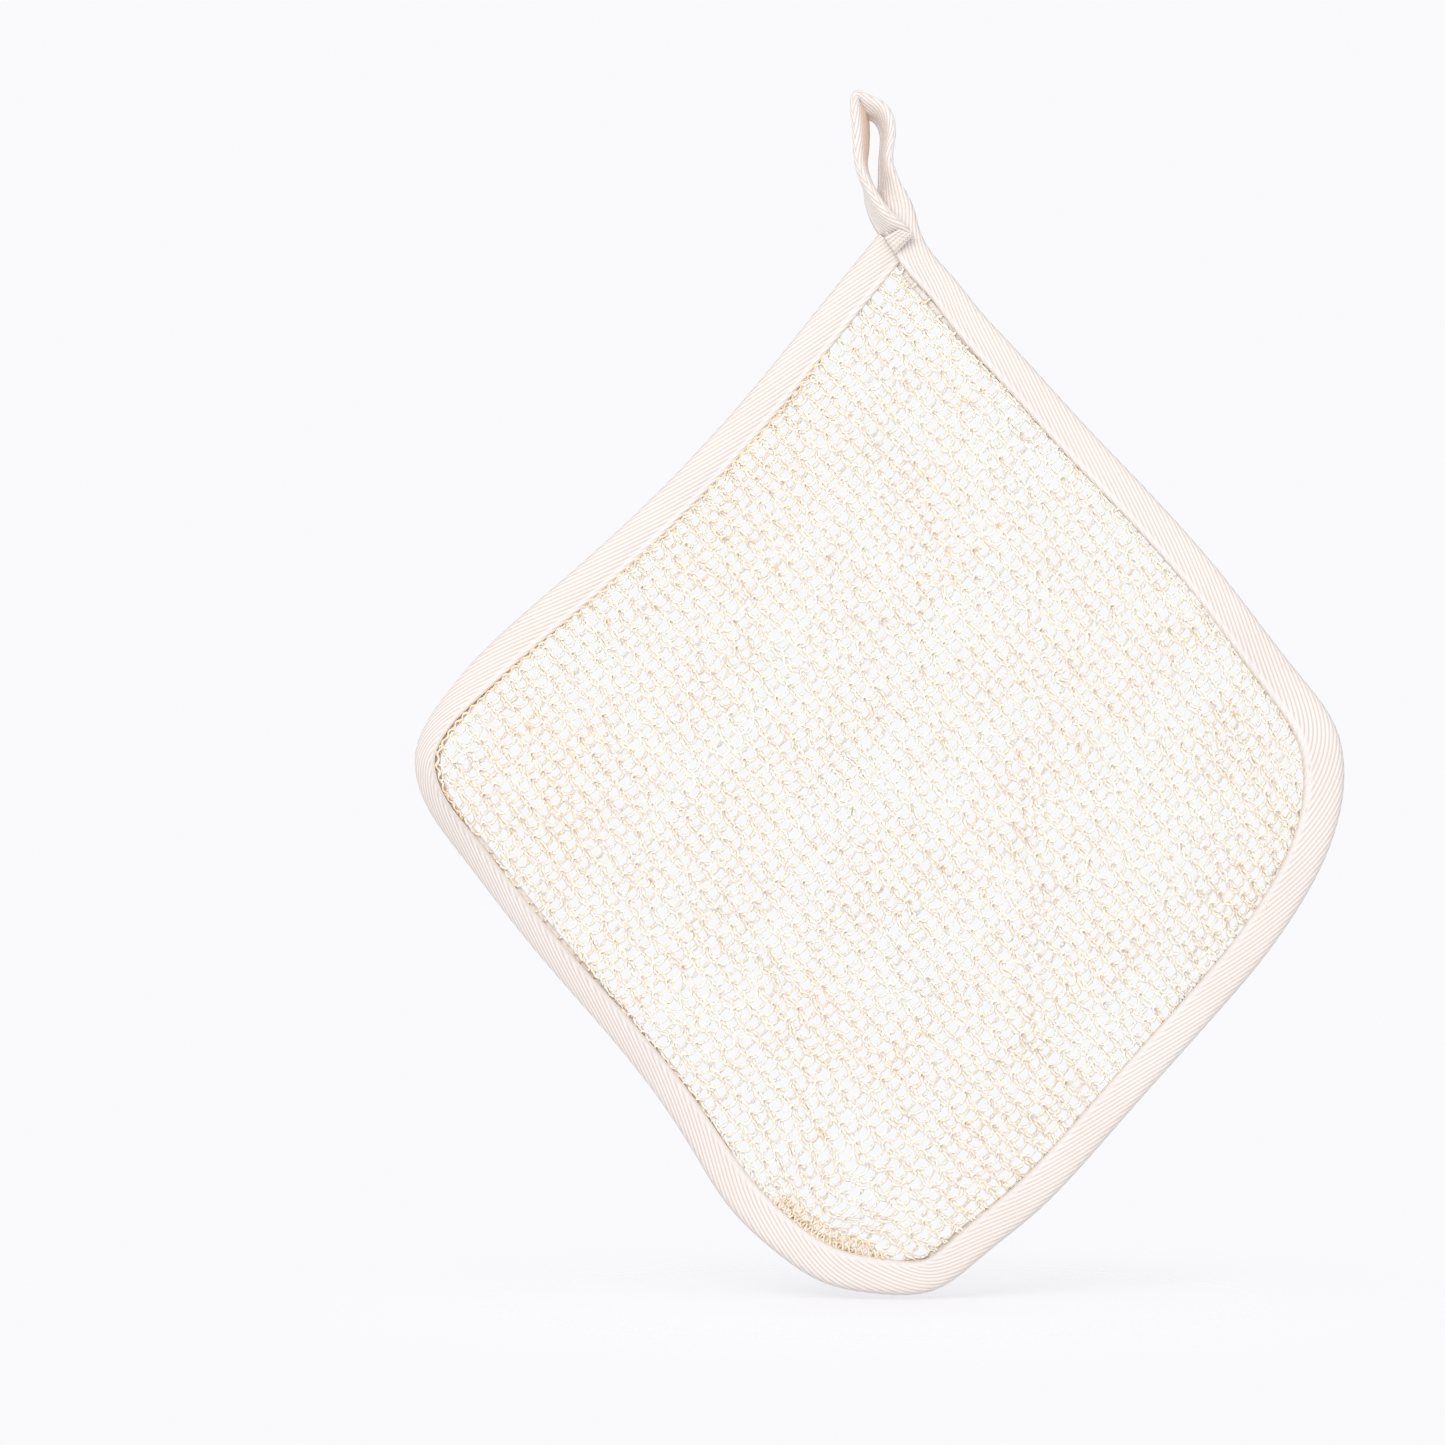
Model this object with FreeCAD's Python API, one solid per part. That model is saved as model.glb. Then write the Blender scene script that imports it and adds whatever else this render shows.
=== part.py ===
import FreeCAD, Part
import math
import os

# A square wash cloth of open sisal knit, bound all round with folded twill tape and hung by one corner
# from a loop of the same tape. Millimetres, +Z up. The origin is where a hook carries the loop, the cloth
# hangs in the XZ plane, and its front faces -Y. Two lines along X divide it into stiff parts: one where the
# loop is sewn to the corner, and one across the middle, where the cloth folds in half.

V = FreeCAD.Vector
AXIS_X = V(1, 0, 0)

# Driving dimensions of the cloth
TAPE_WIDTH = 25.0            # flat width of the binding tape
TAPE_THICK = 0.9             # one layer of twill tape
PANEL_THICK = 3.0            # knit, over its loops
BIND_THICK = PANEL_THICK + 2 * TAPE_THICK
BIND_FACE = TAPE_WIDTH / 2 - 0.2   # what shows of the tape on each face, less the turn at its fold

# Edge of the bound cloth, as it hangs: (x, z), clockwise from the top corner
TOP_CORNER = (11.0, -48.0)
OUTLINE = [
    TOP_CORNER,
    (35, -72.5), (75, -115), (118, -162), (147, -199),       # upper right side
    (160.5, -219), (163, -234), (156.5, -263),               # right corner
    (132, -302), (90, -349), (55, -386.5),                   # lower right side
    (36, -402), (21, -412.5), (1, -413.8), (-17, -410),      # bottom corner
    (-35, -398.5), (-50, -384), (-63, -364),                 # blunt heel of the bottom corner
    (-81, -338), (-116, -297), (-145, -260),                 # lower left side
    (-156, -243), (-159, -227), (-152, -211), (-140, -196),  # left corner
    (-107, -166), (-50, -110),                               # upper left side
    TOP_CORNER,
]

# Hanging loop: the tape's end, folded lengthwise so that it stands nearly edge-on to the front.
# Stations down each strand from the hook: (x, z), width across the front, depth from front to back
STRAND_DEPTH = 11.0
LOOP_TOP = ((0.4, 1.5), 3.0, STRAND_DEPTH)
LEFT_STRAND = [
    LOOP_TOP, ((-3.0, 0.4), 5.0, STRAND_DEPTH), ((-4.9, -4.0), 5.0, STRAND_DEPTH),
    ((-5.1, -10.0), 5.0, STRAND_DEPTH), ((-5.2, -18.0), 5.0, STRAND_DEPTH), ((-4.7, -24.0), 5.0, STRAND_DEPTH),
    ((-1.6, -30.5), 6.0, 7.0), ((3.0, -37.0), 7.0, 4.0), ((7.5, -43.5), 8.5, 3.0),
]
RIGHT_STRAND = [
    LOOP_TOP, ((3.6, 0.4), 5.0, STRAND_DEPTH), ((5.3, -4.0), 4.6, STRAND_DEPTH),
    ((5.5, -10.0), 4.4, STRAND_DEPTH), ((5.3, -17.0), 4.0, STRAND_DEPTH), ((5.8, -23.0), 4.2, 9.0),
    ((7.4, -29.0), 7.5, 6.0), ((9.0, -36.0), 9.0, 4.4), ((10.2, -43.5), 9.5, 4.0),
]
LEFT_SEAMED = LEFT_STRAND[2:6]     # stretches of the loop whose folded edges are stitched together
RIGHT_SEAMED = RIGHT_STRAND[2:5]

# Neck, where the two ends of the loop are sewn flat onto the corner: distances from the top corner
NECK_REACH = 9.0       # its lower corners, to each side and down
NECK_LEFT = 8.5        # at the hinge line
NECK_RIGHT = 4.5

# Hinge lines, both along X, and how far the cloth turns there to each side
LOOP_HINGE_Z = -44.0
LOOP_HINGE_DEG = 120.0
FOLD_Z = -229.0
FOLD_DEG = 150.0
HINGE_GAP = 0.3
WEDGE_REACH = 300.0    # size of the solids that cut the parts clear of each other, beyond every part

# Seams
STITCH_PITCH = 4.0
STITCH_LENGTH = 3.2
THREAD_RADIUS = 0.28
SEAM_INSET = BIND_FACE - 2.0   # from the outer edge of the binding
TACK_ROWS = 7
TACK_SPACING = 1.0
TACK_START = (-5.5, -7.5)      # first stitch of the bar tack, from the top corner
WHOLE_SHARE = 0.999            # of a stitch's volume, when no hinge line cuts it

INSET_SPACING = 9.0    # between the points that an inset curve passes through
INSET_SLACK = 0.05     # how much nearer to the edge than the inset such a point may lie


def spline(points):
    """Open curve through the points, as an edge."""
    curve = Part.BSplineCurve()
    curve.interpolate(points)
    return curve.toShape()


def outline_edge():
    """The edge of the bound cloth, one curve from the top corner round to it again."""
    return spline([V(x, 0, z) for x, z in OUTLINE])


def inset_points(edge, inset, spacing):
    """Points along the inside of the edge, that far from it, without those that overshoot at the corner."""
    count = round(edge.Length / spacing)
    first, last = edge.FirstParameter, edge.LastParameter
    points = []
    for i in range(count + 1):
        at = first + (last - first) * i / count
        tangent = edge.tangentAt(at)
        inward = V(tangent.z, 0, -tangent.x)
        point = edge.valueAt(at) + inward * inset
        if edge.distToShape(Part.Vertex(point))[0] > inset - INSET_SLACK:
            points.append(point)
    return points


def meeting_point(start, first, end, second):
    """Where two straight lines in the XZ plane meet, each given by a point and a direction."""
    across = end - start
    cross = first.x * second.z - first.z * second.x
    return start + first * ((across.x * second.z - across.z * second.x) / cross)


def plate(edges, thickness):
    """The area inside a closed loop of edges in the XZ plane, made that thick about the plane."""
    face = Part.Face(Part.Wire(edges))
    face.translate(V(0, -thickness / 2, 0))
    return face.extrude(V(0, thickness, 0))


def inset_plate(edge, inset, thickness):
    """As plate(), for the area that lies further than inset inside the edge."""
    points = inset_points(edge, inset, INSET_SPACING)
    start, end = points[0], points[-1]
    apex = meeting_point(start, start - points[1], end, end - points[-2])
    sides = [Part.makeLine(apex, start), spline(points), Part.makeLine(end, apex)]
    return plate(sides, thickness)


def wedge(line_z, limit_deg, side):
    """Everything on one side of a hinge line that stays clear of the other side while it turns."""
    rise = math.tan(math.radians(limit_deg / 2))
    near = line_z + side * HINGE_GAP / 2
    depth = WEDGE_REACH / rise
    far = near + side * WEDGE_REACH
    beyond = far + side * WEDGE_REACH
    profile = [(0, near), (depth, far), (depth, beyond), (-depth, beyond), (-depth, far)]
    points = [V(-WEDGE_REACH, y, z) for y, z in profile]
    face = Part.Face(Part.makePolygon(points + points[:1]))
    return face.extrude(AXIS_X * (2 * WEDGE_REACH))


def strand(stations, start_along):
    """One strand of the loop: rectangular sections along its centre line, joined into a solid."""
    centres = [V(x, 0, z) for (x, z), _, _ in stations]
    sections = []
    for i, (_, width, deep) in enumerate(stations):
        before, after = centres[max(i - 1, 0)], centres[min(i + 1, len(centres) - 1)]
        along = (after - before).normalize() if i else start_along
        across = V(along.z, 0, -along.x) * (width / 2)
        back = V(0, deep / 2, 0)
        ring = [across + back, across - back, -across - back, -across + back]
        corners = [centres[i] + offset for offset in ring]
        sections.append(Part.makePolygon(corners + corners[:1]))
    return Part.makeLoft(sections, True, True)


def hanging_loop():
    """The free end of the tape, from the corner over the hook and back to the corner."""
    both = strand(LEFT_STRAND, -AXIS_X).fuse(strand(RIGHT_STRAND, AXIS_X))
    return both.common(wedge(LOOP_HINGE_Z, LOOP_HINGE_DEG, 1))


def neck():
    """The two ends of the loop where they are sewn flat onto the corner."""
    x, z = TOP_CORNER
    outline = [(x - NECK_REACH, z - NECK_REACH), (x - NECK_LEFT, LOOP_HINGE_Z),
               (x + NECK_RIGHT, LOOP_HINGE_Z), (x + NECK_REACH, z - NECK_REACH)]
    points = [V(px, -BIND_THICK / 2, pz) for px, pz in outline]
    face = Part.Face(Part.makePolygon(points + points[:1]))
    return face.extrude(V(0, BIND_THICK, 0))


def stitch(middle, along):
    """One stitch of thread that lies on the tape, centred on middle."""
    start = middle - along * (STITCH_LENGTH / 2)
    return Part.makeCylinder(THREAD_RADIUS, STITCH_LENGTH, start, along)


def seam(edge, side):
    """The stitches of one thread round the binding. side is -1 on the front and 1 on the back."""
    surface = V(0, side * BIND_THICK / 2, 0)
    points = inset_points(edge, SEAM_INSET, STITCH_PITCH)
    middles = [((a + b) / 2 + surface, (b - a).normalize()) for a, b in zip(points, points[1:])]
    return [stitch(middle, along) for middle, along in middles]


def loop_seam():
    """The stitches that close the folded tape, along the back edge of both strands."""
    stitches = []
    for stations in (LEFT_SEAMED, RIGHT_SEAMED):
        for (start, _, deep), (end, _, _) in zip(stations, stations[1:]):
            run = V(end[0] - start[0], 0, end[1] - start[1])
            count = round(run.Length / STITCH_PITCH)
            for i in range(count):
                middle = V(start[0], deep / 2, start[1]) + run * ((i + 0.5) / count)
                stitches.append(stitch(middle, V(run).normalize()))
    return stitches


def bar_tack():
    """Close parallel stitches across the sewn-down ends of the loop, on the front of the corner."""
    x, z = TOP_CORNER
    first = V(x + TACK_START[0], -BIND_THICK / 2, z + TACK_START[1])
    step = V(1, 0, 1).normalize() * TACK_SPACING
    along = V(1, 0, -1).normalize()
    return [stitch(first + step * i, along) for i in range(TACK_ROWS)]


def save(name, shapes):
    """Write the solids of the shapes as one sub-part."""
    solids = [solid for shape in shapes for solid in shape.Solids]
    for solid in solids:
        if not solid.isValid() or solid.Volume <= 0:
            raise ValueError(name + " is not a valid solid")
    Part.makeCompound(solids).exportStep("parts/" + name + ".step")
    volume = sum(solid.Volume for solid in solids) / 1000
    print(f"{name}: {len(solids)} solids, {volume:.2f} cm3")


def main():
    os.makedirs("parts", exist_ok=True)
    edge = outline_edge()
    print(f"edge of the cloth: {edge.Length:.1f} mm round")

    panel = inset_plate(edge, TAPE_THICK, PANEL_THICK)
    whole = plate([edge], BIND_THICK).fuse(neck())
    binding = whole.cut(inset_plate(edge, BIND_FACE, BIND_THICK)).cut(panel)
    upper = wedge(FOLD_Z, FOLD_DEG, 1).common(wedge(LOOP_HINGE_Z, LOOP_HINGE_DEG, -1))
    lower = wedge(FOLD_Z, FOLD_DEG, -1)
    seams = {"needle_thread": seam(edge, -1), "bobbin_thread": seam(edge, 1)}

    for half, region in (("upper", upper), ("lower", lower)):
        save("panel_" + half, [panel.common(region)])
        save("binding_" + half, [binding.common(region)])
        for thread, stitches in seams.items():
            whole_ones = [s for s in stitches if s.common(region).Volume > WHOLE_SHARE * s.Volume]
            save(thread + "_" + half, whole_ones)
    save("hanging_loop", [hanging_loop()])
    save("loop_edge_thread", loop_seam())
    save("bar_tack_thread", bar_tack())


main()
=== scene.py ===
import math

import bpy
import numpy as np
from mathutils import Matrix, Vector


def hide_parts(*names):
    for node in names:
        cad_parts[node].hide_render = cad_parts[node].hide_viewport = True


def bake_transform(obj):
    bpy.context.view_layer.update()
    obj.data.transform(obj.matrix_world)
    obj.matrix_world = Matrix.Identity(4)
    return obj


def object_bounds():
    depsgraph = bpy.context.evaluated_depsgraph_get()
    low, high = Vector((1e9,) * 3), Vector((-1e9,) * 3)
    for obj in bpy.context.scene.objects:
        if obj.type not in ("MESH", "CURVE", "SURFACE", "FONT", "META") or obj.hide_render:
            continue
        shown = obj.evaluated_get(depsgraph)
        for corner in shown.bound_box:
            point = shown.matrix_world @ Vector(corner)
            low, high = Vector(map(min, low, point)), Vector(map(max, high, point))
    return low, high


# A square wash cloth of open sisal knit, bound with folded herringbone tape, and hung by one corner from a
# loop of the same tape. Shapes are worked out in millimetres, in the frame of the CAD model, and stored in
# metres.

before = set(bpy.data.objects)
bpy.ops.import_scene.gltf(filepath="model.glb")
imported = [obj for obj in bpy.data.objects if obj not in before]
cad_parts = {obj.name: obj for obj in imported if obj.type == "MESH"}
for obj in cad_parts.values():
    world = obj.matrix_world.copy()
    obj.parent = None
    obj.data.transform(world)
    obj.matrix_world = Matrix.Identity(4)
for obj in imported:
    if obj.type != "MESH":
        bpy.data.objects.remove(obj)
CAD_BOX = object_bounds()
MM = 0.001
Y = np.array([0.0, 1.0, 0.0])
random = np.random.default_rng(7)

# View
VIEW_CENTRE = (-52.5, -216.0)      # x, z
VIEW_WIDTH = 501.4
VIEW_DISTANCE = 2200.0
SENSOR = 36.0

# Tape
TAPE_HALF = 12.3           # from the fold, its ridge, to the selvage
TAPE_THICK = 0.6
RIB_PITCH = 1.25
RIB_ANGLE = math.radians(17)
RIB_HEIGHT = 0.11
RIB_FADE = 0.12            # share of the height that is left in the lip
LIP = 1.7                  # the smooth lip of the tape past its seam
RIDGE_RADIUS = 0.7
HALF_BULK = 1.30           # half the thickness of the folded tape, which the knit swells by SEWN_BULK
SEWN_BULK = 0.05
BULK_REACH = 1.6           # how far from the ridge it gets that thick, less SEWN_SHORTER on the knit
SEWN_SHORTER = 0.5
SEAM_FROM_EDGE = 1.6
SEAM_SINK, SEAM_WIDTH = 0.75, 1.0
SWELL, SWELL_AT, SWELL_WIDTH = 0.35, 5.0, 3.5     # the knit's bulk between the ridge and the seam
WAVE_HEIGHT, WAVE_X, WAVE_Z = 0.35, 7.0, 11.0     # a slight wave along the binding
ROLL_DEPTH = 0.9           # how far a rolled ridge moves to the front, of TAPE_HALF
STITCH_LENGTH = 3.0
STITCH_PITCH = 4.0
STITCH_POINTS = 7
FIRST_STITCH = 0.3         # from the start of its line
THREAD_RADIUS = 0.2
THREAD_PROUD = 0.08        # of its middle, past the face of the tape
FINE_STEP = 0.2            # between the points that measure the tape's route
BINDING_STEP, LOOP_STEP = 1.0, 0.55     # between the rings of the tape's mesh
COLUMN_SMOOTHING = 7       # rings to each side over which roll, opening and the like are evened out
HANG_SMOOTHING = 10        # and its direction and how it hangs
LINING_STEP = 5            # points of the outer face for each point of the lining
CLOSED_ABOVE = (-34, -26)  # z between which the halves of the loop come together
CLOSED_OUT = (6.0, 11.5)   # and the distances from the ridge
CLOSED_HALF = 0.45         # half the distance between the selvages where they are stitched together
END_RING = 0.03            # how near the ends of the tape an extra ring lies, in steps

# Ridge of the tape, where it is folded lengthwise, from its start at the top corner down the upper left
# side and round the cloth: x, z, lift to the back, roll about the ridge and half opening of the fold in
# degrees, how much wider its front half is, and 1 where it is sewn to the knit
BINDING = [
    (2.0, -46.6, 0, 0, 0, 0, 1), (-9, -60, 0, 0, 0, 0, 1), (-50, -110, 0, 0, 0, 0, 1),
    (-107, -166, 0, 0, 0, 0, 1), (-140, -196, 0, -20, 0, 0, 1), (-152, -211, 0, -42, 0, 0, 1),
    (-159, -227, 0, -50, 0, 0, 1), (-156, -243, 0, -50, 0, 0, 1), (-145, -260, 0, -44, 0, 0, 1),
    (-116, -297, 0, -38, 0, 0, 1), (-81, -338, 0, -30, 0, 0, 1), (-63, -364, 0, -20, 0, 0, 1),
    (-50, -384, 0, -8, 0, 0.8, 1), (-35, -398.5, 0, 0, 0, 0.6, 1), (-17, -410, 0, 0, 0, 1.0, 1),
    (1, -413.8, 0, 0, 0, 0.8, 1), (21, -412.5, 0, 0, 0, -0.8, 1), (36, -402, 0, 0, 0, -0.5, 1),
    (55, -386.5, 0, 0, 0, 0, 1), (90, -349, 0, 0, 0, 0, 1), (132, -302, 0, 0, 0, 0, 1),
    (156.5, -263, 0, 0, 0, 1.0, 1), (163, -234, 0, 0, 0, 2.4, 1), (160.5, -219, 0, 0, 0, 2.6, 1),
    (147, -199, 0, 0, 0, 1.0, 1), (118, -162, 0, 0, 0, 0, 1), (75, -115, 0, 0, 0, 0, 1),
    (45.5, -83, 0, 0, 0, -0.3, 1), (36, -72.5, 0, 0, 0, -0.7, 1), (27.2, -61.4, 0, 0, 0, -1.2, 1),
]
# and on from there, free of the knit: up the right strand of the loop, over, and down the left strand
LOOP = [
    (20.6, -54, -0.2, 0, 1, -1.0, 0.8), (16.6, -47.6, -0.6, 0, 2, -0.5, 0.4),
    (14.9, -42.6, -0.8, 2, 3, 0, 0.1),
    (13.6, -37.6, -1.2, 6, 4, 0, 0), (11.4, -32.9, -1.9, 20, 4, 0, 0), (9.6, -29.8, -2.8, 38, 2, 0, 0),
    (7.8, -26.6, -3.8, 58, 0, 0, 0), (6.0, -22.4, -4.7, 73, 0, 0, 0), (5.8, -18.0, -5.0, 75, 0, 0, 0),
    (6.6, -13.2, -4.8, 72, 0, 0, 0), (6.6, -8.2, -4.4, 66, 0, 0, 0), (5.1, -3.7, -4.0, 60, 2, 0, 0),
    (2.6, -1.0, -3.8, 56, 4, 0, 0), (-1.0, 0.7, -3.9, 54, 5, 0, 0), (-4.2, 1.8, -4.6, 64, 5, 0, 0),
    (-6.4, 2.0, -5.2, 78, 5, 0, 0), (-7.4, -0.6, -5.5, 70, 5, 0, 0), (-7.4, -4.6, -5.7, 64, 5, 0, 0),
    (-6.8, -10.0, -5.8, 65, 5, 0, 0), (-6.4, -18.0, -6.0, 68, 5, 0, 0), (-5.2, -24.0, -6.4, 77, 5, 0, 0),
    (-2.8, -29.0, -7.4, 88, 4, 0, 0), (0.0, -33.8, -8.4, 92, 7, 0, 0), (3.2, -38.0, -8.6, 101, 10, 0, 0),
    (7.0, -41.4, -7.6, 113, 9, 0, 0), (10.6, -44.2, -6.0, 128, 6, 0, 0), (13.0, -46.6, -4.6, 142, 4, 0, 0),
]
INNER_SHADE_DOWN_TO = -24.0    # how far down the left strand has painted shade on its inner face, in z
LOOP_SEWN_DOWN_TO = -26.0  # the lowest of the loop's edge stitches, in z

CURL_REACH = 8.0           # over how much of the knit it bends back to a rolled binding
CURL_STEP = 5              # stations of the tape between those that are searched for the nearest

# Tab: the start of the tape, folded under and sewn over the loop's end: x, z and lift of its corners
TAB = [(3.4, -48.0, -3.4), (8.6, -45.4, -8.2), (13.6, -47.4, -7.2), (7.4, -53.6, -3.0)]
TAB_THICK = 1.5
TAB_EDGE_THICK = 0.35      # of that thickness, at its edges
TAB_EDGE = 1 / 6           # of its width, over which it reaches its full thickness
TAB_RIBS = 7
TAB_RIB_HEIGHT = 0.12
TAB_POINTS = 41            # to a side
TACK_STITCHES = 9
TACK_FROM, TACK_TO = 0.74, 0.99     # of the tab's width, where the bar tack starts and ends
TACK_PROUD = 0.15
TACK_DIVE = (0.3, 0.9)     # how far the last points of its stitches go into the cloth

# Where the knit is cut: how far inside the selvage, and its top corner, where the tape's ends meet
KNIT_COVERED = 2.0
KNIT_CORNER = (9.5, 0, -48.0)

# Knit: its four corners before the binding rounds them, and how far each side bows out or (-) in
KNIT_TOP, KNIT_RIGHT = np.array([11.0, -48.0]), np.array([174.0, -235.0])
KNIT_BOTTOM, KNIT_LEFT = np.array([6.0, -434.0]), np.array([-174.0, -226.0])
BOW_UPPER_LEFT, BOW_UPPER_RIGHT, BOW_LOWER_RIGHT, BOW_LOWER_LEFT = -2.0, 6.0, 13.0, 9.0
BUNCHES = [((-14, -374), 20, (-4.0, -9.0)), ((14, -68), 16, (0.0, 2.0))]   # centre, reach, pull
WALES, COURSES = 47, 73
YARN_RADIUS = 0.50
PLY_BULGE = 0.34           # how far its two plies stand out, of its radius
TWIST_PITCH = 8.0          # one turn of the plies
TUBE_END = 0.4             # how thick a yarn or thread is at its very end, of its radius
COURSE_ANGLE = math.radians(47)     # of the courses, from +X up towards +Z
LOOP_HEIGHT = 0.80         # half the height of a stitch, in courses
LOOP_SPREAD = 0.140        # how far its legs lean together, in wales
LOOP_OMEGA = 0.14          # how far its head and feet overhang its legs, in wales
LOOP_DEPTH = 0.78          # how far it bulges to the front and back
FACE_TURN = 3.2            # how sharply it passes from one face to the other
FACE_LEAN = 0.05           # how far its loops lean to one side, in wales
# How uneven the hand knit is, and over how many stitches
UNEVEN = {"spread": 0.20, "omega": 0.12, "u": 0.09, "v": 0.12, "depth": 0.18, "radius": 0.14}
FIELD_SCALES = {"spread": 1.0, "omega": 1.0, "u": 1.3, "v": 1.3, "depth": 1.7}
RADIUS_SEED, RADIUS_SCALE, RADIUS_STRETCH = 11, 0.9, (0.7, 2.1)
FIELD_SIZE, FIELD_MARGIN = 96, 8

# Detail of the yarns, threads and stray fibres
STITCH_SAMPLES = 16
YARN_SIDES = 6
THREAD_SIDES = 6
FIBRES = 3300              # stray fibres in each of FIBRE_PIECES meshes
FIBRE_PIECES = 4
FIBRE_SIDES = 3
FIBRE_SAMPLES = (9, 22)    # of the yarn that a fibre winds about, least and past the most
FIBRE_RADIUS = (0.07, 0.14)
FIBRE_WINDING = (0.2, 0.7)     # radians a mm
FIBRE_CLEAR = 0.08         # between the yarn and the middle of a fibre
FIBRE_STAND_OFF = (0.1, 1.3)   # of its ends
BANDS = 4                  # the mesh of the knit is made in this many bands of courses

# Yarns that show beside the selvage of the tape: where each lies (x below, z from and to), how far inside
# the selvage, how far it wanders to each side and the pitch of that
EDGE_YARNS = [
    (10, -80, -255, -0.3, 0.45, 4.0), (4, -390, -414.5, 1.0, 1.2, 2.4), (-2, -391, -414.5, 3.8, 1.3, 2.6),
]
EDGE_YARN_RADIUS = 0.8     # of YARN_RADIUS
EDGE_YARN_FRONT, EDGE_YARN_WAVE = 1.1, 0.5

# Folds of the hanging knit: start and end (x, z), half width, how far back or (-) forward
FOLDS = [
    ((8, -66), (22, -190), 11, 5.0), ((-8, -84), (-20, -175), 12, -3.0), ((28, -90), (52, -175), 13, -3.0),
    ((-150, -244), (-30, -312), 17, 6.0), ((-110, -228), (10, -268), 18, -3.5),
    ((-95, -275), (-5, -395), 20, -4.0), ((150, -255), (96, -330), 18, 5.0),
    ((60, -300), (20, -400), 24, -3.5), ((70, -130), (130, -195), 18, -3.0),
    ((-70, -150), (-20, -235), 26, 3.0), ((60, -210), (70, -300), 22, 2.5),
]
RIPPLE = 0.7               # height of the small unevenness between them

# Base colours. Each sisal colour has how much of it an ochre yarn loses.
IVORY = (0.99, 0.93, 0.85), (0.10, 0.24, 0.42)
STRAW = (0.95, 0.82, 0.67), (0.20, 0.34, 0.42)
OCHRE = (0.88, 0.63, 0.40), (0.30, 0.30, 0.24)
OCHRE_AGE = 0.55           # of an ochre yarn, from 0, ivory
COTTON = (0.75, 0.705, 0.675, 1)
COTTON_SLUB = (0.71, 0.65, 0.605, 1)
COTTON_PINK = (0.75, 0.715, 0.70, 1)
# Painted shade in the grooves between the tape's ribs
COTTON_GROOVE_SHADE = (0.58, 0.465, 0.40, 1)
# Painted shade along the tape's selvage
COTTON_SELVAGE_SHADE = (0.70, 0.59, 0.50, 1)
# Painted shade, warm tan, on the inner face of the loop's left strand
COTTON_INNER_SHADE = (0.70, 0.48, 0.34, 1)
# Sewing thread: painted shade in the grooves of its twist, and its pale ridges
THREAD_GROOVE_SHADE, THREAD_PALE = (0.66, 0.53, 0.42, 1), (0.80, 0.72, 0.64, 1)
ROOM = (0.955, 0.953, 0.972, 1)
FLOOR = (0.83, 0.83, 0.855, 1)

# Lights: name, place, size, power and colour. Here and on the floor, distances are in metres.
LIGHTS = [
    ("key", (-0.5, -1.5, 0.5), 1.0, 14, (1.0, 0.985, 0.96)),
    ("fill", (1.0, -1.6, 0.1), 1.4, 4.5, (0.98, 0.985, 1.0)),
]
LIGHT_TARGET = (0.0, 0.0, -0.23)
FLOOR_REACH = 3.0
FLOOR_GAP = 0.002          # below the lowest corner
FLOOR_FADE = (0.03, 0.26)  # from the middle of the cloth, over which it fades into the room


# ---------------------------------------------------------------- curves

def natural_spline(knots, values, at):
    """Cubic curve through the values at the knots, straight at both ends, read at the places in at."""
    count = len(knots)
    step = np.diff(knots)
    system = np.eye(count)
    bend = np.zeros_like(values)
    for i in range(1, count - 1):
        system[i, i - 1:i + 2] = step[i - 1], 2 * (step[i - 1] + step[i]), step[i]
        bend[i] = 6 * ((values[i + 1] - values[i]) / step[i] - (values[i] - values[i - 1]) / step[i - 1])
    second = np.linalg.solve(system, bend)
    k = np.clip(np.searchsorted(knots, at, side="right") - 1, 0, count - 2)
    size = step[k][:, None]
    after = (at[:, None] - knots[k][:, None]) / size
    before = 1 - after
    curved = (before ** 3 - before) * second[k] + (after ** 3 - after) * second[k + 1]
    return before * values[k] + after * values[k + 1] + curved * size ** 2 / 6


def arc_length(points):
    steps = np.linalg.norm(np.diff(points, axis=0), axis=1)
    return np.concatenate([[0], np.cumsum(steps)])


def tape_stations():
    """The tape's route at close stations, and how many of them belong to the binding. Its places lie on a
    smooth curve, and its other columns change in straight lines and are then smoothed."""
    table = np.array(BINDING + LOOP, float)
    places = table[:, :2]
    knots = arc_length(places)
    fine = np.linspace(0, knots[-1], int(knots[-1] / FINE_STEP))
    length = arc_length(natural_spline(knots, places, fine))
    binding_end = np.interp(knots[len(BINDING) - 1], fine, length)
    steps = np.concatenate([np.arange(0, binding_end, BINDING_STEP),
                            np.arange(binding_end, length[-1], LOOP_STEP)])
    at = np.interp(steps, length, fine)
    columns = [natural_spline(knots, places, at)]
    for column in table[:, 2:].T:
        columns.append(smooth(np.interp(at, knots, column), COLUMN_SMOOTHING)[:, None])
    return np.hstack(columns), int(np.searchsorted(steps, binding_end))


def smooth(values, reach):
    """Weighted running average over reach places to each side, with the ends kept."""
    rise = np.arange(1, reach + 1)
    before = values[0] - (values[reach:0:-1] - values[0])
    after = values[-1] - (values[-2:-reach - 2:-1] - values[-1])
    padded = np.concatenate([before, values, after])
    kernel = np.concatenate([rise, [reach + 1], rise[::-1]]).astype(float)
    return np.convolve(padded, kernel / kernel.sum(), mode="valid")


def step_up(values, low, high):
    """Smooth step, 0 below low and 1 above high."""
    t = np.clip((values - low) / (high - low), 0, 1)
    return t * t * (3 - 2 * t)


def unit(vectors):
    return vectors / np.linalg.norm(vectors, axis=-1, keepdims=True)


# ---------------------------------------------------------------- the hanging shape

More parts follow.
